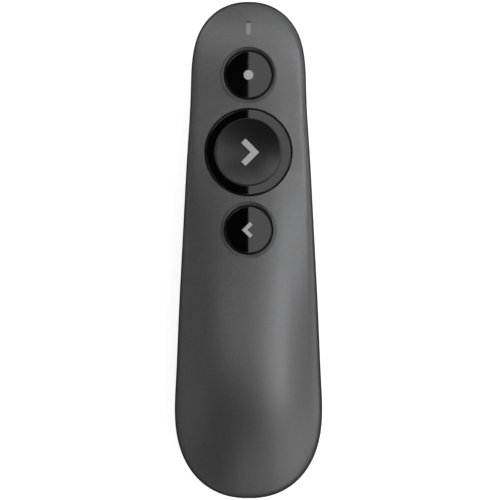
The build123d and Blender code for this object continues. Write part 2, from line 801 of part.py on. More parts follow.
# ---------------------------------------------------------------- circuit board
with BuildPart() as main_board:
    with BuildSketch(Plane.XY.offset(board_underside)):
        with BuildLine():
            ends = [board_head_y - rise for rise in (0.0, 0.6, 2.0, 4.5, 8.0, 14.0)]
            right = [(half_width(y, board_margin), y) for y in ends + [24.0, board_tail_y]]
            right_edge = Spline(right)
            left_edge = Spline([(-x, y) for x, y in right])
            Line(right_edge @ 0, left_edge @ 0)
            Line(right_edge @ 1, left_edge @ 1)
        make_face()
        with Locations(*mirrored(case_screw_places[:1])):
            Circle(case_boss_radius + board_gap, mode=Mode.SUBTRACT)
        with Locations(*mirrored(board_screw_places)):
            Circle(board_screw_radius + screw_clearance, mode=Mode.SUBTRACT)
    extrude(amount=board_thickness)
save(main_board, "main_board")

with BuildPart() as radio_chip:
    with BuildSketch(Plane.XY.offset(board_underside - chip_height)):
        with Locations(chip_place):
            Rectangle(chip_size, chip_size)
    extrude(amount=chip_height)
save(radio_chip, "radio_chip")

with BuildPart() as crystal:
    with BuildSketch(Plane.XY.offset(board_underside - crystal_size[2])):
        with Locations(crystal_place):
            RectangleRounded(crystal_size[0], crystal_size[1], crystal_size[2] / 2)
    extrude(amount=crystal_size[2])
save(crystal, "crystal")

with BuildPart() as boost_inductor:
    with BuildSketch(Plane.XY.offset(board_underside - inductor_height)):
        with Locations(inductor_place):
            Circle(inductor_radius)
    extrude(amount=inductor_height)
save(boost_inductor, "boost_inductor")

with BuildPart() as filter_capacitor:
    with BuildSketch(Plane.XY.offset(board_underside - capacitor_height)):
        with Locations(capacitor_place):
            Circle(capacitor_radius)
    extrude(amount=capacitor_height)
save(filter_capacitor, "filter_capacitor")

# ---------------------------------------------------------------- laser
barrel_axis = Axis((0, 0, laser_axis_height), (0, 1, 0))
with BuildPart() as laser_barrel:
    with BuildSketch(across(barrel_head_y)):
        with Locations((0, laser_axis_height)):
            Circle(barrel_radius)
            Circle(barrel_bore_radius, mode=Mode.SUBTRACT)
    extrude(amount=barrel_length)
save(laser_barrel, "laser_barrel")

with BuildPart() as laser_lens:
    with BuildSketch(across(barrel_head_y - lens_setback)):
        with Locations((0, laser_axis_height)):
            Circle(barrel_bore_radius)
    extrude(amount=lens_thickness)
save(laser_lens, "laser_lens")

diode_tail_y = barrel_tail_y + diode_setback
with BuildPart() as laser_diode:
    with BuildSketch(across(diode_tail_y + diode_length)):
        with Locations((0, laser_axis_height)):
            Circle(barrel_bore_radius)
    extrude(amount=diode_length)
save(laser_diode, "laser_diode")

laser_board_top = laser_axis_height + laser_board_thickness / 2
with BuildPart() as laser_board:
    with BuildSketch(across(diode_tail_y)):
        with Locations((0, laser_axis_height)):
            Rectangle(laser_board_width, laser_board_thickness)
    extrude(amount=laser_board_length)
save(laser_board, "laser_board")

for name, side in (("red", 1), ("black", -1)):
    start_y = diode_tail_y - laser_board_length + wire_radius
    turn_y = start_y - wire_run
    level = laser_board_top + wire_radius
    with BuildPart() as laser_wire:
        with BuildLine():
            FilletPolyline(
                (side * wire_place, start_y, level),
                (side * wire_place, turn_y, level),
                (side * wire_place, turn_y, board_underside),
                radius=wire_bend,
            )
        with BuildSketch(across(start_y)):
            with Locations((side * wire_place, level)):
                Circle(wire_radius)
        sweep()
    save(laser_wire, f"laser_wire_{name}")

with BuildPart() as laser_window:
    with BuildSketch(across(window_y)):
        with Locations((0, laser_axis_height)):
            Circle(window_radius)
    extrude(amount=window_thickness)
    with BuildSketch(across(window_y - window_thickness)):
        with Locations((0, laser_axis_height)):
            Circle(window_radius + window_flange)
    extrude(amount=window_flange_thickness)
save(laser_window, "laser_window")

# ---------------------------------------------------------------- cells and contacts
cell_base_y = bay_tail_y + contact_thickness  # face of the tail contact
cell_head_y = bay_head_y - contact_thickness  # face of the head contacts

for name, side, base_y, way in (
    ("battery_left", -1, cell_head_y - cell_length, 1),
    ("battery_right", 1, cell_base_y + cell_length, -1),
):
    cell_plane = Plane(origin=(side * cell_x, base_y, cell_axis_height), x_dir=(1, 0, 0), z_dir=(0, way, 0))
    with BuildPart() as cell:
        with BuildSketch(cell_plane):
            Circle(cell_radius)
        extrude(amount=cell_length - cell_nub_height)
        fillet(cell.edges().filter_by(GeomType.CIRCLE), cell_edge_radius)
        with BuildSketch(cell_plane.offset(cell_length - cell_nub_height)):
            Circle(cell_nub_radius)
        extrude(amount=cell_nub_height)
    save(cell, name)

for name, side in (("positive_contact", -1), ("negative_contact", 1)):
    with BuildPart() as contact:
        with BuildSketch(across(bay_head_y)):
            with Locations((side * cell_x, cell_axis_height)):
                Rectangle(contact_width, contact_height)
            with Locations((side * cell_x, (cell_axis_height + board_underside) / 2)):
                Rectangle(contact_tab_width, board_underside - cell_axis_height)
        extrude(amount=contact_thickness)
    save(contact, name)

with BuildPart() as bridge_contact:
    with BuildSketch(across(cell_base_y)):
        with Locations((0, cell_axis_height)):
            Rectangle(2 * cell_x + contact_width, contact_height)
    extrude(amount=contact_thickness)
save(bridge_contact, "bridge_contact")

for name, side, base_y, way in (
    ("negative_spring", 1, cell_head_y, -1),
    ("bridge_spring", -1, cell_base_y, 1),
):
    coil_length = spring_length - 2 * spring_wire_radius
    taper = (spring_base_radius - spring_tip_radius) / coil_length
    with BuildPart() as spring:
        with BuildLine():
            coil = Helix(
                coil_length / spring_turns,
                coil_length,
                spring_base_radius,
                center=(side * cell_x, base_y + way * spring_wire_radius, cell_axis_height),
                direction=(0, way, 0),
                cone_angle=-degrees(atan(taper)),
            )
        with BuildSketch(Plane(origin=coil @ 0, z_dir=coil % 0)):
            Circle(spring_wire_radius)
        sweep()
    save(spring, name)

# ---------------------------------------------------------------- USB receiver
with BuildPart() as receiver_housing:
    with BuildSketch(across(-half_length)):
        with Locations((0, receiver_axis_height)):
            RectangleRounded(receiver_width, receiver_thickness, receiver_edge_radius)
    extrude(amount=-receiver_cap_length)
    add(hull_form(receiver_setback), mode=Mode.INTERSECT)
    with BuildSketch(Plane.XY.offset(receiver_axis_height + receiver_thickness / 2 - nail_groove_depth)):
        with Locations((0, nail_groove_place - half_length)):
            Rectangle(receiver_width, nail_groove_width)
    extrude(amount=receiver_thickness, mode=Mode.SUBTRACT)
save(receiver_housing, "receiver_housing")

with BuildPart() as receiver_plug:
    with BuildSketch(across(plug_start_y)):
        with Locations((0, receiver_axis_height)):
            Rectangle(plug_width, plug_thickness)
            Rectangle(plug_width - 2 * plug_wall, plug_thickness - 2 * plug_wall, mode=Mode.SUBTRACT)
    extrude(amount=-plug_length)
    with BuildSketch(Plane.XY.offset(receiver_axis_height)):
        with Locations((0, plug_start_y + plug_window_place)):
            with GridLocations(plug_width / 2, 0, 2, 1):
                Rectangle(plug_window, plug_window)
    extrude(amount=plug_thickness, both=True, mode=Mode.SUBTRACT)
save(receiver_plug, "receiver_plug")

tongue_plate_base = receiver_axis_height + plug_wall - plug_thickness / 2
with BuildPart() as receiver_tongue:
    with BuildSketch(across(plug_start_y)):
        with Locations((0, tongue_plate_base + tongue_plate_thickness / 2)):
            Rectangle(tongue_plate_width, tongue_plate_thickness)
    extrude(amount=-(plug_length - plug_wall))
save(receiver_tongue, "receiver_tongue")

with BuildPart() as receiver_contacts:
    with BuildSketch(Plane.XY.offset(tongue_plate_base + tongue_plate_thickness)):
        with Locations((0, plug_tip_y - plug_wall - pad_length / 2)):
            with GridLocations(pad_pitch, 0, 4, 1):
                Rectangle(pad_width, pad_length)
    extrude(amount=pad_thickness)
save(receiver_contacts, "receiver_contacts")

# ---------------------------------------------------------------- fasteners
with BuildPart() as case_screws:
    with BuildSketch(Plane.XY.offset(case_screw_seat - case_screw_head_height)):
        with Locations(*mirrored(case_screw_places)):
            Circle(case_screw_head_radius)
    extrude(amount=case_screw_head_height)
    with BuildSketch(Plane.XY.offset(case_screw_seat)):
        with Locations(*mirrored(case_screw_places)):
            Circle(case_screw_radius)
    extrude(amount=case_screw_length)
    with BuildSketch(Plane.XY.offset(case_screw_seat - case_screw_head_height)):
        with Locations(*mirrored(case_screw_places)):
            Rectangle(case_screw_head_radius * 1.2, drive_width)
            Rectangle(drive_width, case_screw_head_radius * 1.2)
    extrude(amount=drive_depth, mode=Mode.SUBTRACT)
save(case_screws, "case_screws")

with BuildPart() as board_screws:
    with BuildSketch(Plane.XY.offset(board_underside - board_screw_head_height)):
        with Locations(*mirrored(board_screw_places)):
            Circle(board_screw_head_radius)
    extrude(amount=board_screw_head_height)
    with BuildSketch(Plane.XY.offset(board_underside)):
        with Locations(*mirrored(board_screw_places)):
            Circle(board_screw_radius)
    extrude(amount=board_screw_length)
save(board_screws, "board_screws")
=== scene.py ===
# Looks for the presentation clicker: a finish for every piece, the printed marks on its buttons,
# and a studio of panels overhead, upright cards all round and black cloths that only gloss sees.
from math import cos, pi, radians, sin

import bpy
import numpy as np
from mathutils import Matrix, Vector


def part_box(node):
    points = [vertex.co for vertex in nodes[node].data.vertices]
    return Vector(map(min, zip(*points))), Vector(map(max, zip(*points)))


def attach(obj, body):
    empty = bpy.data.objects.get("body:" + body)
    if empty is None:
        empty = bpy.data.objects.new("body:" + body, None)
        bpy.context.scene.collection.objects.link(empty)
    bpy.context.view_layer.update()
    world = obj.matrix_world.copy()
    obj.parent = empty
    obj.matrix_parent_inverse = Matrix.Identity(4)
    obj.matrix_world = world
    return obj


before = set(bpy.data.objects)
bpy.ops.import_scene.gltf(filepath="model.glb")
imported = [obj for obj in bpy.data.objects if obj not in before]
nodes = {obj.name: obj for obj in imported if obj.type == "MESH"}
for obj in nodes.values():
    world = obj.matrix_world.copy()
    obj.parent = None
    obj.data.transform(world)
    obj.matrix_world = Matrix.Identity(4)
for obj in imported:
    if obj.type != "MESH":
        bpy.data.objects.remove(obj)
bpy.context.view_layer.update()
print("frame loaded:", len(nodes), "nodes")

# lengths in the dictionaries are millimetres and those of the studio are metres, unless a value
# is multiplied by mm where it stands
mm = 0.001


def newMaterial(name):
    # a node material, its tree and its Principled shader
    material = bpy.data.materials.new(name)
    material.use_nodes = True
    tree = material.node_tree
    return material, tree, tree.nodes["Principled BSDF"]


def addNode(tree, kind, **settings):
    node = tree.nodes.new(kind)
    for key, value in settings.items():
        setattr(node, key, value)
    return node


def setInputs(node, values):
    for label, value in values.items():
        node.inputs[label].default_value = value


def feed(tree, target, source):
    # source is another node's output, or a plain value
    if isinstance(source, bpy.types.NodeSocket):
        tree.links.new(source, target)
    else:
        target.default_value = source


def calculate(tree, operation, first, second=0.0, clamp=False):
    # one Math node: first (operation) second
    node = addNode(tree, "ShaderNodeMath", operation=operation, use_clamp=clamp)
    feed(tree, node.inputs[0], first)
    feed(tree, node.inputs[1], second)
    return node.outputs[0]


def placeOnPiece(tree):
    # where on the object a point of the surface lies, in metres
    return addNode(tree, "ShaderNodeTexCoord").outputs["Object"]


def addNoise(tree, place, scale, detail, roughness):
    # noise from 0 to 1 over the surface; scale is a socket or a plain value
    noise = addNode(tree, "ShaderNodeTexNoise", noise_dimensions="3D")
    setInputs(noise, {"Detail": detail, "Roughness": roughness})
    tree.links.new(place, noise.inputs["Vector"])
    feed(tree, noise.inputs["Scale"], scale)
    return noise.outputs["Fac"]


def finishWith(material, *names):
    # the only material of these pieces of the frame
    for name in names:
        mesh = nodes[name].data
        mesh.materials.clear()
        mesh.materials.append(material)
        mesh.polygons.foreach_set("material_index", np.zeros(len(mesh.polygons), dtype=np.int32))


def newGroup(name, inputs, outputs):
    # a shader group with named sockets: inputs are (name, kind, value), outputs are (name, kind)
    group = bpy.data.node_groups.new(name, "ShaderNodeTree")
    newSocket = group.interface.new_socket
    for label, kind, value in inputs:
        socket = newSocket(name=label, in_out="INPUT", socket_type="NodeSocket" + kind)
        socket.default_value = value
    for label, kind in outputs:
        newSocket(name=label, in_out="OUTPUT", socket_type="NodeSocket" + kind)
    return group, addNode(group, "NodeGroupInput"), addNode(group, "NodeGroupOutput")


fineNoise = {"detail": 2.5, "roughness": 0.6}
slowNoise = {"detail": 3.0, "roughness": 0.5}
evenly = (1.0, 1.0, 1.0)  # stretch of a grain that runs the same in every direction
usualDrift = 22.0  # size of the slow noise, where a look doesn't give its own


def buildSurfaceGrain():
    # grain of a moulded, drawn or brushed face:
    # fine = noise(place * stretch / grain size) - 0.5, slow = noise(place / drift size) - 0.5,
    # colour = tint * (1 + contrast * fine + drift * slow),
    # roughness = base + spread * (fine + slow), and the height is the fine noise
    group, source, result = newGroup(
        "surfaceGrain",
        (
            ("Colour", "Color", (0.1, 0.1, 0.1, 1.0)),
            ("Stretch", "Vector", evenly),
            ("Grain Size", "Float", 0.15),
            ("Grain Contrast", "Float", 0.1),
            ("Drift Size", "Float", usualDrift),
            ("Drift", "Float", 0.04),
            ("Roughness", "Float", 0.5),
            ("Roughness Spread", "Float", 0.08),
        ),
        (("Colour", "Color"), ("Roughness", "Float"), ("Height", "Float")),
    )
    link = group.links.new
    given = source.outputs
    place = placeOnPiece(group)
    stretched = addNode(group, "ShaderNodeVectorMath", operation="MULTIPLY")
    link(place, stretched.inputs[0])
    link(given["Stretch"], stretched.inputs[1])
    fineScale = calculate(group, "DIVIDE", 1 / mm, given["Grain Size"])
    slowScale = calculate(group, "DIVIDE", 1 / mm, given["Drift Size"])
    fine = addNoise(group, stretched.outputs[0], fineScale, **fineNoise)
    slow = addNoise(group, place, slowScale, **slowNoise)
    fineSwing = calculate(group, "SUBTRACT", fine, 0.5)
    slowSwing = calculate(group, "SUBTRACT", slow, 0.5)
    grainPart = calculate(group, "MULTIPLY", fineSwing, given["Grain Contrast"])
    driftPart = calculate(group, "MULTIPLY", slowSwing, given["Drift"])
    shade = calculate(group, "ADD", calculate(group, "ADD", grainPart, driftPart), 1.0)
    tint = addNode(group, "ShaderNodeVectorMath", operation="SCALE")
    link(given["Colour"], tint.inputs[0])
    link(shade, tint.inputs["Scale"])
    swing = calculate(group, "ADD", fineSwing, slowSwing)
    spread = calculate(group, "MULTIPLY", swing, given["Roughness Spread"])
    roughness = calculate(group, "ADD", given["Roughness"], spread, clamp=True)
    link(tint.outputs["Vector"], result.inputs["Colour"])
    link(roughness, result.inputs["Roughness"])
    link(fine, result.inputs["Height"])
    return group


def buildZone(name, borders, depthInside):
    # mask of a region: 1 inside and 0 outside, over an edge as wide as Softness,
    # mask = depth inside the border / softness, held between 0 and 1
    inputs = [(label, "Float", 0.0) for label in borders] + [("Softness", "Float", 0.1 * mm)]
    group, source, result = newGroup(name, inputs, (("Mask", "Float"),))
    place = addNode(group, "ShaderNodeSeparateXYZ")
    group.links.new(placeOnPiece(group), place.inputs[0])
    depth = depthInside(group, place.outputs, source.outputs)
    mask = calculate(group, "DIVIDE", depth, source.outputs["Softness"], clamp=True)
    group.links.new(mask, result.inputs["Mask"])
    return group


def roundDepth(group, place, border):
    # an upright cylinder on the centre line: depth = radius - sqrt(x^2 + (y - centre)^2)
    across, along = place["X"], calculate(group, "SUBTRACT", place["Y"], border["Centre"])
    acrossSquare = calculate(group, "MULTIPLY", across, across)
    alongSquare = calculate(group, "MULTIPLY", along, along)
    distance = calculate(group, "SQRT", calculate(group, "ADD", acrossSquare, alongSquare))
    return calculate(group, "SUBTRACT", border["Radius"], distance)


def heightDepth(group, place, border):
    # all that is higher than a level: depth = z - level
    return calculate(group, "SUBTRACT", place["Z"], border["Level"])


def bandDepth(group, place, border):
    # a stretch along the body: depth = the smaller of y - tail and head - y
    pastTail = calculate(group, "SUBTRACT", place["Y"], border["Tail"])
    beforeHead = calculate(group, "SUBTRACT", border["Head"], place["Y"])
    return calculate(group, "MINIMUM", pastTail, beforeHead)


surfaceGrain = buildSurfaceGrain()
roundZone = buildZone("roundZone", ("Centre", "Radius"), roundDepth)
heightZone = buildZone("heightZone", ("Level",), heightDepth)
bandZone = buildZone("bandZone", ("Tail", "Head"), bandDepth)


def zoneMask(zone, borders, softness):
    # a mask maker for grainMaterial; borders are in metres and softness in millimetres
    def mask(tree):
        node = addNode(tree, "ShaderNodeGroup", node_tree=zone)
        setInputs(node, dict(borders, Softness=softness * mm))
        return node.outputs["Mask"]

    return mask


def grainNode(tree, look):
    grain = addNode(tree, "ShaderNodeGroup", node_tree=surfaceGrain)
    values = {
        "Colour": (*look["colour"], 1.0),
        "Stretch": look.get("stretch", evenly),
        "Grain Size": look["grainSize"],
        "Grain Contrast": look["grainContrast"],
        "Drift Size": look.get("driftSize", usualDrift),
        "Drift": look["drift"],
        "Roughness": look["roughness"],
        "Roughness Spread": look["roughnessSpread"],
    }
    setInputs(grain, values)
    return grain


def layOver(tree, kind, mask, under, over):
    # over where the mask is 1, under where it is 0; a Mix node has its sockets once for each kind
    # of value, all under the same names
    blend = addNode(tree, "ShaderNodeMix", data_type=kind)
    wanted = {"RGBA": "RGBA", "FLOAT": "VALUE"}[kind]
    tree.links.new(mask, blend.inputs["Factor"])
    for label, source in (("A", under), ("B", over)):
        socket = [one for one in blend.inputs if one.name == label and one.type == wanted][0]
        feed(tree, socket, source)
    return [one for one in blend.outputs if one.name == "Result" and one.type == wanted][0]


def grainMaterial(name, base, *layers):
    # a Principled material whose colour, roughness and relief come from the surface grain;
    # each layer is (look, mask maker) and covers what lies under it, and the relief has one
    # strength all over, that of the first layer
    material, tree, shader = newMaterial(name)
    ground = grainNode(tree, base)
    parts = {output: ground.outputs[output] for output in ("Colour", "Roughness", "Height")}
    metallic = baseMetallic = base.get("metallic", 0.0)
    for look, maskOf in layers:
        mask, grain = maskOf(tree), grainNode(tree, look)
        for output, kind in (("Colour", "RGBA"), ("Roughness", "FLOAT"), ("Height", "FLOAT")):
            parts[output] = layOver(tree, kind, mask, parts[output], grain.outputs[output])
        if look.get("metallic", 0.0) != baseMetallic:
            metallic = layOver(tree, "FLOAT", mask, metallic, look.get("metallic", 0.0))
    feed(tree, shader.inputs["Base Color"], parts["Colour"])
    feed(tree, shader.inputs["Roughness"], parts["Roughness"])
    feed(tree, shader.inputs["Metallic"], metallic)
    if "edgeTint" in base:
        tint = base["edgeTint"]
        setInputs(shader, {"Specular Tint": (tint, tint, tint, 1.0)})
    relief = layers[0][0] if layers else base
    bump = addNode(tree, "ShaderNodeBump")
    setInputs(bump, {"Strength": relief["reliefStrength"], "Distance": relief["reliefDepth"] * mm})
    tree.links.new(parts["Height"], bump.inputs["Height"])
    tree.links.new(bump.outputs["Normal"], shader.inputs["Normal"])
    return material


def middleOf(node):
    low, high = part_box(node)
    return (low + high) / 2


# a plunger stands under the middle of its button
laserButtonY = middleOf("laser_plunger").y
nextButtonY = middleOf("next_plunger").y
backButtonY = middleOf("back_plunger").y

coverLook = {
    "colour": (0.113, 0.113, 0.1155),
    "grainSize": 0.7,
    "grainContrast": 0.3,
    "drift": 0.05,
    "roughness": 0.36,
    "roughnessSpread": 0.06,
    "reliefStrength": 0.35,
    "reliefDepth": 0.012,
    "metallic": 0.85,
    "edgeTint": 0.25,  # how strongly the paint shines when it is seen edge-on
}
# the sloping rings round the two small buttons are painted darker, as painted shade in the slopes
ringShadeLook = dict(coverLook, colour=(0.07, 0.07, 0.072), outer=8.1, softness=0.25)
hullLook = {
    "colour": (0.065, 0.065, 0.067),
    "grainSize": 0.34,
    "grainContrast": 0.3,
    "drift": 0.06,
    "roughness": 0.52,
    "roughnessSpread": 0.12,
    "reliefStrength": 0.55,
    "reliefDepth": 0.025,
}


def discMask(centreY, look):
    # a disc on the centre line, seen from above
    borders = {"Centre": centreY, "Radius": look["outer"] * mm}
    return zoneMask(roundZone, borders, look["softness"])


# discs of painted shade laid over the cover's paint round the laser and back buttons
shadedRings = [(ringShadeLook, discMask(y, ringShadeLook)) for y in (laserButtonY, backButtonY)]
finishWith(grainMaterial("graphiteSatin", coverLook, *shadedRings), "top_cover")
finishWith(grainMaterial("graphiteGrip", hullLook), "rear_cover", "battery_door")
print("covers finished")

capLook = {
    "colour": (0.001, 0.001, 0.0011),
    "grainSize": 3.0,
    "grainContrast": 0.3,
    "drift": 0.2,
    "roughness": 0.045,
    "roughnessSpread": 0.03,
    "reliefStrength": 0.0,
    "reliefDepth": 0.01,
}
# the sides of a cap, as it left the mould
rawCapLook = {
    "colour": (0.006, 0.006, 0.0062),
    "grainSize": 0.2,
    "grainContrast": 0.3,
    "drift": 0.1,
    "roughness": 0.62,
    "roughnessSpread": 0.1,
    "polishedDepth": 1.3,  # how far under its top a cap is polished
    "softness": 0.05,
}
dishLook = {
    "colour": (0.004, 0.004, 0.0042),
    "grainSize": 0.18,
    "grainContrast": 0.3,
    "drift": 0.1,
    "roughness": 0.22,
    "roughnessSpread": 0.04,
    "outer": 9.6,  # radius of the dish with its bevel
    "softness": 0.08,
}
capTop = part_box("laser_button")[1].z / mm
polishedLevel = {"Level": (capTop - rawCapLook["polishedDepth"]) * mm}
polished = (capLook, zoneMask(heightZone, polishedLevel, rawCapLook["softness"]))
dish = (dishLook, discMask(nextButtonY, dishLook))
finishWith(grainMaterial("glossCap", rawCapLook, polished), "laser_button", "back_button")
finishWith(grainMaterial("glossCapWithDish", rawCapLook, polished, dish), "next_button")
print("buttons finished")

markLook = {
    "colour": (0.25, 0.25, 0.25),
    "grainSize": 0.12,
    "grainContrast": 0.12,
    "drift": 0.03,
    "roughness": 0.45,
    "roughnessSpread": 0.08,
    "reliefStrength": 0.15,
    "reliefDepth": 0.005,
}
markShape = {
    "rise": 0.03,  # how far the ink stands over the cap
    "sink": 0.05,  # how far the mark reaches into the cap
    "dotRadius": 1.35,
    "forward": {"height": 7.65, "stroke": 1.7, "tip": 3.0, "way": 1},
    "backward": {"height": 4.45, "stroke": 1.08, "tip": -1.82, "way": -1},
    "laserArc": 105.44,  # radii of the arcs that the caps make across the body
    "backArc": 68.65,
    "dishRadius": 74.73,  # radius of the dish's sphere
    "dishDepth": 0.9,
}
inkedMark = grainMaterial("paleInk", markLook)


def layMark(name, x, y, height, body):
    # a thin closed sheet: x, y and height are grids of places on the cap; the top is the grid
    # raised, the bottom is the same grid sunk, and a wall joins their four sides
    rows, columns = x.shape
    top = np.stack([x, y, height + markShape["rise"]], axis=-1).reshape(-1, 3)
    bottom = np.stack([x, y, height - markShape["sink"]], axis=-1).reshape(-1, 3)
    index = np.arange(rows * columns).reshape(rows, columns)
    corners = [index[:-1, :-1], index[:-1, 1:], index[1:, 1:], index[1:, :-1]]
    quads = np.stack(corners, axis=-1).reshape(-1, 4)
    rim = np.concatenate([index[0, :-1], index[:-1, -1], index[-1, :0:-1], index[:0:-1, 0]])
    after = np.roll(rim, -1)
    under = rows * columns
    walls = np.stack([rim, rim + under, after + under, after], axis=-1)
    faces = np.concatenate([quads, quads[:, ::-1] + under, walls])
    mesh = bpy.data.meshes.new(name)
    mesh.from_pydata((np.concatenate([top, bottom]) * mm).tolist(), [], faces.tolist())
    mesh.materials.append(inkedMark)
    mark = bpy.data.objects.new(name, mesh)
    bpy.context.scene.collection.objects.link(mark)
    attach(mark, body)


def discGrid(radius, count=25):
    # a square grid eased onto a disc: x = u * sqrt(1 - v^2 / 2), y = v * sqrt(1 - u^2 / 2)
    u, v = np.meshgrid(np.linspace(-1, 1, count), np.linspace(-1, 1, count))
    return radius * u * np.sqrt(1 - v**2 / 2), radius * v * np.sqrt(1 - u**2 / 2)


def chevronGrid(shape, along=33, across=7):
    # two arms at 45 degrees carried from end to end through the tip:
    # place = outer edge + share across * (inner edge - outer edge)
    span = shape["height"] / 2
    arm = np.linspace(-1, 1, along)
    outerX, outerY = shape["tip"] - shape["way"] * span * np.abs(arm), span * arm
    offset = shape["stroke"] / np.sqrt(2)
    innerX = shape["tip"] - shape["way"] * (2 * offset + (span - offset) * np.abs(arm))
    innerY = (span - offset) * arm
    share = np.linspace(0, 1, across)[:, None]
    x, y = outerX + share * (innerX - outerX), outerY + share * (innerY - outerY)
    return (x, y) if shape["way"] < 0 else (x[::-1], y[::-1])


def arcHeight(x, top, radius):
    # the arc across a cap: height = top - radius + sqrt(radius^2 - x^2)
    return top - radius + np.sqrt(radius**2 - x**2)


def dishHeight(x, y, top):
    # the dish's sphere: height = top - depth + radius - sqrt(radius^2 - x^2 - y^2)
    radius = markShape["dishRadius"]
    return top - markShape["dishDepth"] + radius - np.sqrt(radius**2 - x**2 - y**2)


x, y = discGrid(markShape["dotRadius"])
height = arcHeight(x, capTop, markShape["laserArc"])
layMark("laser_mark", x, y + laserButtonY / mm, height, "laser_key")
x, y = chevronGrid(markShape["forward"])
height = dishHeight(x, y, capTop)
layMark("next_mark", x, y + nextButtonY / mm, height, "next_key")
x, y = chevronGrid(markShape["backward"])
height = arcHeight(x, capTop, markShape["backArc"])
layMark("back_mark", x, y + backButtonY / mm, height, "back_key")
print("marks laid")


def bandMask(tail, head, softness):
    # a stretch of the body, from tail to head along Y
    return zoneMask(bandZone, {"Tail": tail, "Head": head}, softness)


diffuserLook = {
    "colour": (0.145, 0.145, 0.147),
    "grainSize": 0.3,
    "grainContrast": 0.1,
    "drift": 0.05,
    "roughness": 0.3,
    "roughnessSpread": 0.06,
    "reliefStrength": 0.05,
    "reliefDepth": 0.01,
    "length": 3.8,  # of the light's slot
}
# the diffuser's head end lies a little deeper, and the dark band painted there is a painted shadow
# of the slot's wall
slotShadowLook = dict(diffuserLook, colour=(0.02, 0.02, 0.02), length=0.65, softness=0.15)
slotHead = middleOf("light_pipe").y + diffuserLook["length"] / 2 * mm
shadowLength = slotShadowLook["length"] * mm
# the band of painted shadow at the slot's head end
slotEndShadow = bandMask(slotHead - shadowLength, slotHead + shadowLength, slotShadowLook["softness"])
finishWith(grainMaterial("lightDiffuser", diffuserLook, (slotShadowLook, slotEndShadow)), "light_pipe")
print("status light finished")

wireLook = {
    "grainSize": 0.5,
    "grainContrast": 0.08,
    "drift": 0.06,
    "roughness": 0.4,
    "roughnessSpread": 0.08,
    "reliefStrength": 0.1,
    "reliefDepth": 0.01,
}
trimLooks = {
    "receiverBlack": {
        "colour": (0.022, 0.022, 0.023),
        "grainSize": 0.25,
        "grainContrast": 0.25,
        "drift": 0.05,
        "roughness": 0.5,
        "roughnessSpread": 0.1,
        "reliefStrength": 0.45,
        "reliefDepth": 0.02,
    },
    "tongueBlack": {
        "colour": (0.03, 0.029, 0.028),
        "grainSize": 0.4,
        "grainContrast": 0.15,
        "drift": 0.05,
        "roughness": 0.38,
        "roughnessSpread": 0.08,
        "reliefStrength": 0.15,
        "reliefDepth": 0.01,
    },
    "switchBlack": {
        "colour": (0.018, 0.018, 0.019),
        "grainSize": 0.3,
        "grainContrast": 0.2,
        "drift": 0.06,
        "roughness": 0.42,
        "roughnessSpread": 0.1,
        "reliefStrength": 0.3,
        "reliefDepth": 0.015,
    },
    "plungerWhite": {
        "colour": (0.72, 0.7, 0.66),
        "grainSize": 0.4,
        "grainContrast": 0.05,
        "drift": 0.04,
        "roughness": 0.35,
        "roughnessSpread": 0.06,
        "reliefStrength": 0.1,
        "reliefDepth": 0.01,
    },
    "chipEpoxy": {
        "colour": (0.014, 0.014, 0.015),
        "grainSize": 0.16,
        "grainContrast": 0.35,
        "drift": 0.05,
        "roughness": 0.62,
        "roughnessSpread": 0.1,
        "reliefStrength": 0.4,
        "reliefDepth": 0.01,
    },
    "ferriteGrey": {
        "colour": (0.05, 0.048, 0.047),
        "grainSize": 0.2,
        "grainContrast": 0.4,
        "drift": 0.1,
        "roughness": 0.7,
        "roughnessSpread": 0.1,
        "reliefStrength": 0.5,
        "reliefDepth": 0.02,
    },
    "wireRed": dict(wireLook, colour=(0.42, 0.02, 0.015)),
    "wireBlack": dict(wireLook, colour=(0.02, 0.02, 0.02)),
}
trimNodes = {
    "receiverBlack": ("receiver_housing",),
    "tongueBlack": ("receiver_tongue",),
    "switchBlack": ("laser_switch", "next_switch", "back_switch"),
    "plungerWhite": ("laser_plunger", "next_plunger", "back_plunger", "status_led"),
    "chipEpoxy": ("radio_chip",),
    "ferriteGrey": ("boost_inductor",),
    "wireRed": ("laser_wire_red",),
    "wireBlack": ("laser_wire_black",),
}
for name, look in trimLooks.items():
    finishWith(grainMaterial(name, look), *trimNodes[name])
print("plastics finished")

alongY = (1.0, 0.06, 1.0)  # drawn or brushed along the body
alongX = (0.06, 1.0, 1.0)  # drawn or brushed across the body


def metalLook(colour, roughness, stretch=evenly, contrast=0.12, depth=0.006):
    return {
        "colour": colour,
        "stretch": stretch,
        "grainSize": 0.12,
        "grainContrast": contrast,
        "driftSize": 6.0,
        "drift": 0.08,
        "roughness": roughness,
        "roughnessSpread": 0.14,
        "reliefStrength": 0.3,
        "reliefDepth": depth,
        "metallic": 1.0,
    }


metalLooks = {
    "springSteel": metalLook((0.52, 0.51, 0.5), 0.24),
    "contactNickel": metalLook((0.6, 0.57, 0.52), 0.3, alongX),
    "plugSteel": metalLook((0.6, 0.6, 0.61), 0.3, alongY),
    "contactGold": metalLook((0.83, 0.6, 0.27), 0.22, alongY),
    "barrelBrass": metalLook((0.72, 0.55, 0.28), 0.3, alongX),
    "canNickel": metalLook((0.62, 0.6, 0.56), 0.33),
    "screwZinc": metalLook((0.56, 0.57, 0.6), 0.34, contrast=0.2, depth=0.012),
}
metalNodes = {
    "springSteel": ("negative_spring", "bridge_spring", "laser_dome", "next_dome", "back_dome"),
    "contactNickel": ("positive_contact", "negative_contact", "bridge_contact"),
    "plugSteel": ("receiver_plug",),
    "contactGold": ("receiver_contacts",),
    "barrelBrass": ("laser_barrel",),
    "canNickel": ("laser_diode", "crystal", "filter_capacitor"),
    "screwZinc": ("case_screws", "board_screws"),
}
for name, look in metalLooks.items():
    finishWith(grainMaterial(name, look), *metalNodes[name])
print("metals finished")

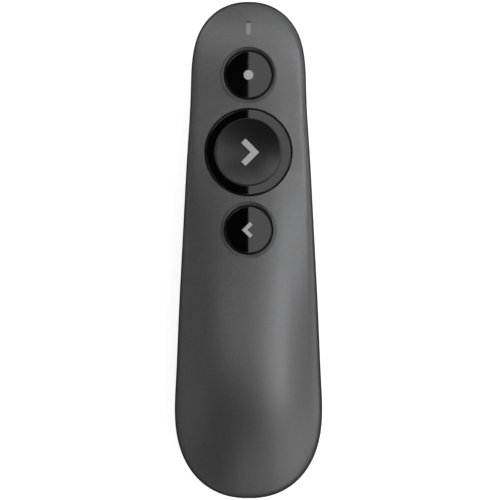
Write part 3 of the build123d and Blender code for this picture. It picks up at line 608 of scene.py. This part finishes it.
boardLook = {
    "colour": (0.012, 0.075, 0.028),
    "grainSize": 0.3,
    "grainContrast": 0.15,
    "drift": 0.1,
    "roughness": 0.28,
    "roughnessSpread": 0.08,
    "reliefStrength": 0.2,
    "reliefDepth": 0.01,
}
trackLook = dict(boardLook, colour=(0.02, 0.13, 0.05), roughness=0.24)
# lengths and widths are shares of the pitch
trackShape = {
    "pitch": 1.6,
    "width": 0.06,
    "softness": 0.1,
    "length": 2.3,  # between two crossings
    "spacing": 0.5,  # from one long track to the next
    "shift": 0.37,  # how far the crossings of the next row are moved along
    "stretch": 1.6,  # how much longer some rows are
    "stretchedRow": 3,  # every third row
}


def trackMask(tree):
    # copper under the solder mask: bricks of bare board, and the joints between them as tracks
    bricks = addNode(
        tree,
        "ShaderNodeTexBrick",
        offset=trackShape["shift"],
        squash=trackShape["stretch"],
        squash_frequency=trackShape["stretchedRow"],
    )
    values = {
        "Scale": 1 / (trackShape["pitch"] * mm),
        "Mortar Size": trackShape["width"],
        "Mortar Smooth": trackShape["softness"],
        "Brick Width": trackShape["length"],
        "Row Height": trackShape["spacing"],
    }
    setInputs(bricks, values)
    tree.links.new(placeOnPiece(tree), bricks.inputs["Vector"])
    return bricks.outputs["Fac"]


solderMask = grainMaterial("solderMask", boardLook, (trackLook, trackMask))
finishWith(solderMask, "main_board", "laser_board")
print("boards finished")

wrapLook = {
    "colour": (0.035, 0.06, 0.11),
    "grainSize": 0.5,
    "grainContrast": 0.08,
    "drift": 0.06,
    "roughness": 0.25,
    "roughnessSpread": 0.06,
    "reliefStrength": 0.05,
    "reliefDepth": 0.01,
}
canLook = metalLook((0.6, 0.6, 0.6), 0.28)
# the nub's length, and how much of the can the wrap leaves bare next to it and at the flat end
cellShape = {"nub": 0.8, "bareHead": 1.0, "bareTail": 0.5, "softness": 0.02}


def wrapMask(node, nubAtHead):
    # the wrap lies between the two bare ends of a cell
    low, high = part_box(node)
    nubEnd = (cellShape["nub"] + cellShape["bareHead"]) * mm
    flatEnd = cellShape["bareTail"] * mm
    tail, head = (flatEnd, nubEnd) if nubAtHead else (nubEnd, flatEnd)
    return bandMask(low.y + tail, high.y - head, cellShape["softness"])


for node, nubAtHead in (("battery_left", True), ("battery_right", False)):
    wrap = (wrapLook, wrapMask(node, nubAtHead))
    finishWith(grainMaterial(node + "Skin", canLook, wrap), node)
print("cells finished")

glassLooks = {
    "smokedWindow": {"colour": (0.1, 0.012, 0.012), "ior": 1.49, "roughness": 0.03},
    "lensGlass": {"colour": (0.95, 0.97, 0.98), "ior": 1.52, "roughness": 0.01},
}
glassNodes = {"smokedWindow": "laser_window", "lensGlass": "laser_lens"}
hazeNoise = {"scale": 900.0, "detail": 2.0, "roughness": 0.5}  # the scale is waves to a metre
for name, look in glassLooks.items():
    # a faint haze: roughness = twice the look's roughness * noise, which is 0.5 on average
    material, tree, shader = newMaterial(name)
    haze = addNoise(tree, placeOnPiece(tree), **hazeNoise)
    rough = calculate(tree, "MULTIPLY", haze, 2 * look["roughness"])
    tree.links.new(rough, shader.inputs["Roughness"])
    glass = {"Base Color": (*look["colour"], 1.0), "IOR": look["ior"], "Transmission Weight": 1.0}
    setInputs(shader, glass)
    finishWith(material, glassNodes[name])
print("glass finished")

studio = {
    "floorSize": 6.0,
    "floorDrop": 0.15 * mm,  # the floor lies this far under the clicker
    "floorColour": 0.6,
    "floorRoughness": 0.9,
    "floorGlow": 0.6,  # added where the background is seen, so that it comes out white
    "roomShade": 0.5,  # what the room adds to lit surfaces; it is seen as white
}
view = {
    "height": 4.0,
    "width": 140.15 * mm,  # what the camera takes in at the height of the seam
    "seamHeight": 17 * mm,
    "sensor": 36.0,
    "x": 0.42 * mm,
    "y": 0.04 * mm,
    "nearest": 0.01,  # what is nearer than this or farther than the next isn't drawn
    "farthest": 20.0,
}
# level panels that shine down: from and to along X, from and to along Y, height and radiance
panels = {
    "capPanel": (0.0, 0.4, -0.02, 0.12, 1.5, 1.8),
    "keyPanel": (0.5, 0.7, 0.14, 0.3, 1.5, 22.0),
    "sidePanel": (0.5, 0.75, -0.3, -0.02, 1.5, 10.2),
    "headPanel": (-0.45, 0.6, 0.3, 0.6, 1.5, 2.1),
    "headPanelFar": (0.0, 0.4, 0.6, 1.2, 1.5, 2.4),
    "headPanelLeft": (-0.45, -0.2, 0.12, 0.3, 1.5, 3.6),
    "leftPanel": (-1.8, -0.9, -0.8, -0.02, 1.5, 0.55),
    "tailPanelFar": (-0.2, 0.2, -1.8, -0.8, 1.5, 1.2),
    "tailPanelNear": (0.15, 0.5, -0.6, -0.2, 0.5, 1.6),
    "headPanelNear": (-0.5, -0.15, 0.2, 0.5, 0.5, 1.8),
    "rightPanelNear": (0.5, 0.9, -0.4, 0.0, 0.5, 1.3),
}
# upright cards all round that light the rounded edge of the cover
cardShape = {"reach": 1.2, "width": 0.95, "foot": 0.1, "top": 1.2}
# each card: direction in degrees from X towards Y, and radiance
cards = {
    "rightCard": (0, 1.0),
    "headRightCard": (45, 1.2),
    "headCard": (90, 0.7),
    "headLeftCard": (135, 0.9),
    "leftCard": (180, 0.28),
    "tailLeftCard": (225, 0.32),
    "tailCard": (270, 0.33),
    "tailRightCard": (315, 0.6),
}
underPanel = {"width": 2.0, "depth": 1.0, "radiance": 0.7}  # lights the underside from below
# a tent of black cloths, which keeps the room and the floor out of the reflections
tent = {
    "reach": 2.0,
    "height": 1.55,
    "floorWidth": 0.7,
    "floorLength": 0.8,
    "floorRise": -0.05 * mm,
}
tentWidth = 2 * tent["reach"]
# each cloth: its centre, and its sizes along X, Y and Z
cloths = {
    "ceilingCloth": ((0, 0, tent["height"]), (tentWidth, tentWidth, 0)),
    "floorCloth": ((0, 0, tent["floorRise"]), (tent["floorWidth"], tent["floorLength"], 0)),
}
walls = {"leftCloth": (-1, 0), "rightCloth": (1, 0), "tailCloth": (0, -1), "headCloth": (0, 1)}
for name, (x, y) in walls.items():
    centre = (x * tent["reach"], y * tent["reach"], tent["height"] / 2)
    width, length = (tentWidth if side == 0 else 0 for side in (x, y))
    cloths[name] = (centre, (width, length, tent["height"]))


def flatSheet(name, centre, size, material):
    # a rectangle round centre, spread over the two axes in which its size isn't 0
    first, second = [axis for axis in range(3) if size[axis] > 0]
    points = np.tile(np.array(centre, dtype=float), (4, 1))
    points[:, first] += np.array([-0.5, 0.5, 0.5, -0.5]) * size[first]
    points[:, second] += np.array([-0.5, -0.5, 0.5, 0.5]) * size[second]
    mesh = bpy.data.meshes.new(name)
    mesh.from_pydata(points.tolist(), [], [(0, 1, 2, 3)])
    mesh.materials.append(material)
    sheet = bpy.data.objects.new(name, mesh)
    bpy.context.scene.collection.objects.link(sheet)


def seenRays(tree):
    # 1 for the rays that show the background: camera, glossy and transmission rays
    path = addNode(tree, "ShaderNodeLightPath").outputs
    seen = calculate(tree, "MAXIMUM", path["Is Camera Ray"], path["Is Glossy Ray"])
    return calculate(tree, "MAXIMUM", seen, path["Is Transmission Ray"])


def mixShaders(tree, share, first, second):
    # the surface is the first shader where share is 0 and the second where it is 1
    mix = addNode(tree, "ShaderNodeMixShader")
    tree.links.new(share, mix.inputs["Fac"])
    tree.links.new(first.outputs[0], mix.inputs[1])
    tree.links.new(second.outputs[0], mix.inputs[2])
    tree.links.new(mix.outputs[0], tree.nodes["Material Output"].inputs["Surface"])


def makeMatt(shader, shade, roughness):
    grey = (shade, shade, shade, 1.0)
    setInputs(shader, {"Base Color": grey, "Roughness": roughness, "Specular IOR Level": 0.0})


def buildFloor():
    # matt and pale; it glows a little where the background is seen, can't be seen from
    # underneath, and lets the light from below through to the underside
    material, tree, shader = newMaterial("paleFloor")
    makeMatt(shader, studio["floorColour"], studio["floorRoughness"])
    setInputs(shader, {"Emission Color": (1.0, 1.0, 1.0, 1.0)})
    glow = calculate(tree, "MULTIPLY", seenRays(tree), studio["floorGlow"])
    tree.links.new(glow, shader.inputs["Emission Strength"])
    backfacing = addNode(tree, "ShaderNodeNewGeometry").outputs["Backfacing"]
    shadowRay = addNode(tree, "ShaderNodeLightPath").outputs["Is Shadow Ray"]
    passing = calculate(tree, "MAXIMUM", backfacing, shadowRay)
    mixShaders(tree, passing, shader, addNode(tree, "ShaderNodeBsdfTransparent"))
    size = studio["floorSize"]
    flatSheet("floor", (0, 0, -studio["floorDrop"]), (size, size, 0.0), material)


def buildCloths():
    # black in the reflections on the clicker, and not there for any other ray
    material, tree, shader = newMaterial("blackCloth")
    makeMatt(shader, 0.0, 1.0)
    glossyRay = addNode(tree, "ShaderNodeLightPath").outputs["Is Glossy Ray"]
    mixShaders(tree, glossyRay, addNode(tree, "ShaderNodeBsdfTransparent"), shader)
    for name, (centre, size) in cloths.items():
        flatSheet(name, centre, size, material)


def areaLamp(name, width, length, radiance, place, turn=(0, 0, 0)):
    # unturned, it shines straight down; its power in watts is radiance * pi * area
    lamp = bpy.data.lights.new(name, "AREA")
    lamp.shape = "RECTANGLE"
    lamp.size, lamp.size_y = width, length
    lamp.energy = radiance * pi * width * length
    holder = bpy.data.objects.new(name, lamp)
    holder.location, holder.rotation_euler = place, turn
    holder.visible_camera = False
    bpy.context.scene.collection.objects.link(holder)


def buildLamps():
    for name, (west, east, tail, head, height, radiance) in panels.items():
        middle = ((west + east) / 2, (tail + head) / 2, height)
        areaLamp(name, east - west, head - tail, radiance, middle)
    reach, foot, top = cardShape["reach"], cardShape["foot"], cardShape["top"]
    for name, (direction, radiance) in cards.items():
        angle = radians(direction)
        middle = (reach * cos(angle), reach * sin(angle), (foot + top) / 2)
        turn = (pi / 2, 0, angle + pi / 2)
        areaLamp(name, cardShape["width"], top - foot, radiance, middle, turn)
    width, below = underPanel["width"], (0, 0, -underPanel["depth"])
    areaLamp("underPanel", width, width, underPanel["radiance"], below, (pi, 0, 0))


def buildRoom():
    # dim for lit surfaces and white where the background is seen
    world = bpy.data.worlds.new("paleRoom")
    bpy.context.scene.world = world
    world.use_nodes = True
    tree = world.node_tree
    background = tree.nodes["Background"]
    background.inputs["Color"].default_value = (1, 1, 1, 1)
    room = studio["roomShade"]
    strength = calculate(tree, "ADD", calculate(tree, "MULTIPLY", seenRays(tree), 1 - room), room)
    tree.links.new(strength, background.inputs["Strength"])


def buildCamera():
    # it looks straight down: focal length = sensor * distance to the seam / width there
    lens = bpy.data.cameras.new("camera")
    lens.sensor_width = view["sensor"]
    lens.lens = view["sensor"] * (view["height"] - view["seamHeight"]) / view["width"]
    lens.clip_start, lens.clip_end = view["nearest"], view["farthest"]
    camera = bpy.data.objects.new("camera", lens)
    camera.location = (view["x"], view["y"], view["height"])
    bpy.context.scene.collection.objects.link(camera)
    bpy.context.scene.camera = camera


buildFloor()
buildCloths()
buildLamps()
buildRoom()
buildCamera()
bpy.context.scene.view_settings.view_transform = "Standard"
print("studio built")
